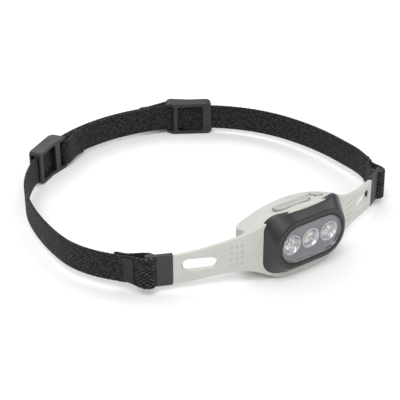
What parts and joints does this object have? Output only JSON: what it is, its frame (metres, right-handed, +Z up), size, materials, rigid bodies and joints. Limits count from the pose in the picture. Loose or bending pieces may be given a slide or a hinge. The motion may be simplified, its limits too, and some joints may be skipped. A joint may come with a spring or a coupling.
{
  "type": "headlamp",
  "caption": "Slim rechargeable headlamp: flexible cradle with a wide lamp, top push buttons, and an elastic head band with slide adjusters.",
  "frame": {"origin": "middle of the lamp's flat foot, on the surface it stands on", "axes": "+Z up, -Y out of the lamp's front, +X to the wearer's left"},
  "size_m": [0.1862, 0.1839, 0.038],
  "materials": {
    "cradle": "soft matt flexible moulding, fine grain",
    "bezel": "satin dark moulding",
    "lens": "clear polished window",
    "gasket": "matt black rubber",
    "optic_plate": "finely lined satin",
    "reflector": "vacuum-metallised mirror",
    "led": "yellow phosphor under clear resin",
    "circuit_board": "solder-mask gloss",
    "case": "fine-grained matt",
    "screws": "dark zinc-plated",
    "pad": "soft foam rubber",
    "battery": "pouch foil",
    "switch": "stamped cover",
    "indicator": "smoked translucent plastic",
    "socket": "stamped steel shell",
    "port_cover": "matt rubber",
    "button": "soft matt, raised dots",
    "anchor": "matt charcoal moulding",
    "band": "woven elastic with flecks",
    "adjuster": "matt charcoal moulding"
  },
  "bodies": {
    "lamp": {"cradle": "cradle", "bezel": "bezel", "lens": "lens", "lens_gasket": "gasket", "optic_plate": "optic_plate", "reflector_left": "reflector", "reflector_middle": "reflector", "reflector_right": "reflector", "led_left": "led", "led_middle": "led", "led_right": "led", "led_board": "circuit_board", "case": "case", "back_seal": "gasket", "back_cover": "case", "screws": "screws", "battery_pad": "pad", "battery_cell": "battery", "main_board": "circuit_board", "button_board": "circuit_board", "power_switch": "switch", "mode_switch": "switch", "indicator_window": "indicator", "charge_socket": "socket", "anchor_left": "anchor", "anchor_right": "anchor", "band_left": "band", "band_right": "band"},
    "power_button": {"power_button": "button"},
    "mode_button": {"mode_button": "button"},
    "port_cover": {"port_cover": "port_cover"},
    "adjuster_left": {"adjuster_left": "adjuster", "band_right_back": "band"},
    "adjuster_right": {"adjuster_right": "adjuster", "band_left_back": "band"}
  },
  "joints": [
    {"name": "power_press", "type": "slide", "parent": "lamp", "child": "power_button", "axis": [0.0455, -0.2694, -0.962], "range_m": [0, 0.0005], "stiffness_N_per_m": 1500, "springref_m": -0.0003},
    {"name": "mode_press", "type": "slide", "parent": "lamp", "child": "mode_button", "axis": [-0.209, -0.2637, -0.9417], "range_m": [0, 0.0005], "stiffness_N_per_m": 1500, "springref_m": -0.0003},
    {"name": "port_cover_hinge", "type": "hinge", "parent": "lamp", "child": "port_cover", "pos_m": [0.011, 0.0096, 0.0181], "axis": [-1, 0, 0], "range_deg": [0, 100]},
    {"name": "adjuster_left_slide", "type": "hinge", "parent": "lamp", "child": "adjuster_left", "pos_m": [-0.0055, 0.07499, 0.01147], "axis": [0, 0.0192, 0.9998], "range_deg": [-6, 6]},
    {"name": "adjuster_right_slide", "type": "hinge", "parent": "lamp", "child": "adjuster_right", "pos_m": [-0.0055, 0.07499, 0.01147], "axis": [0, 0.0192, 0.9998], "range_deg": [-6, 6]}
  ]
}
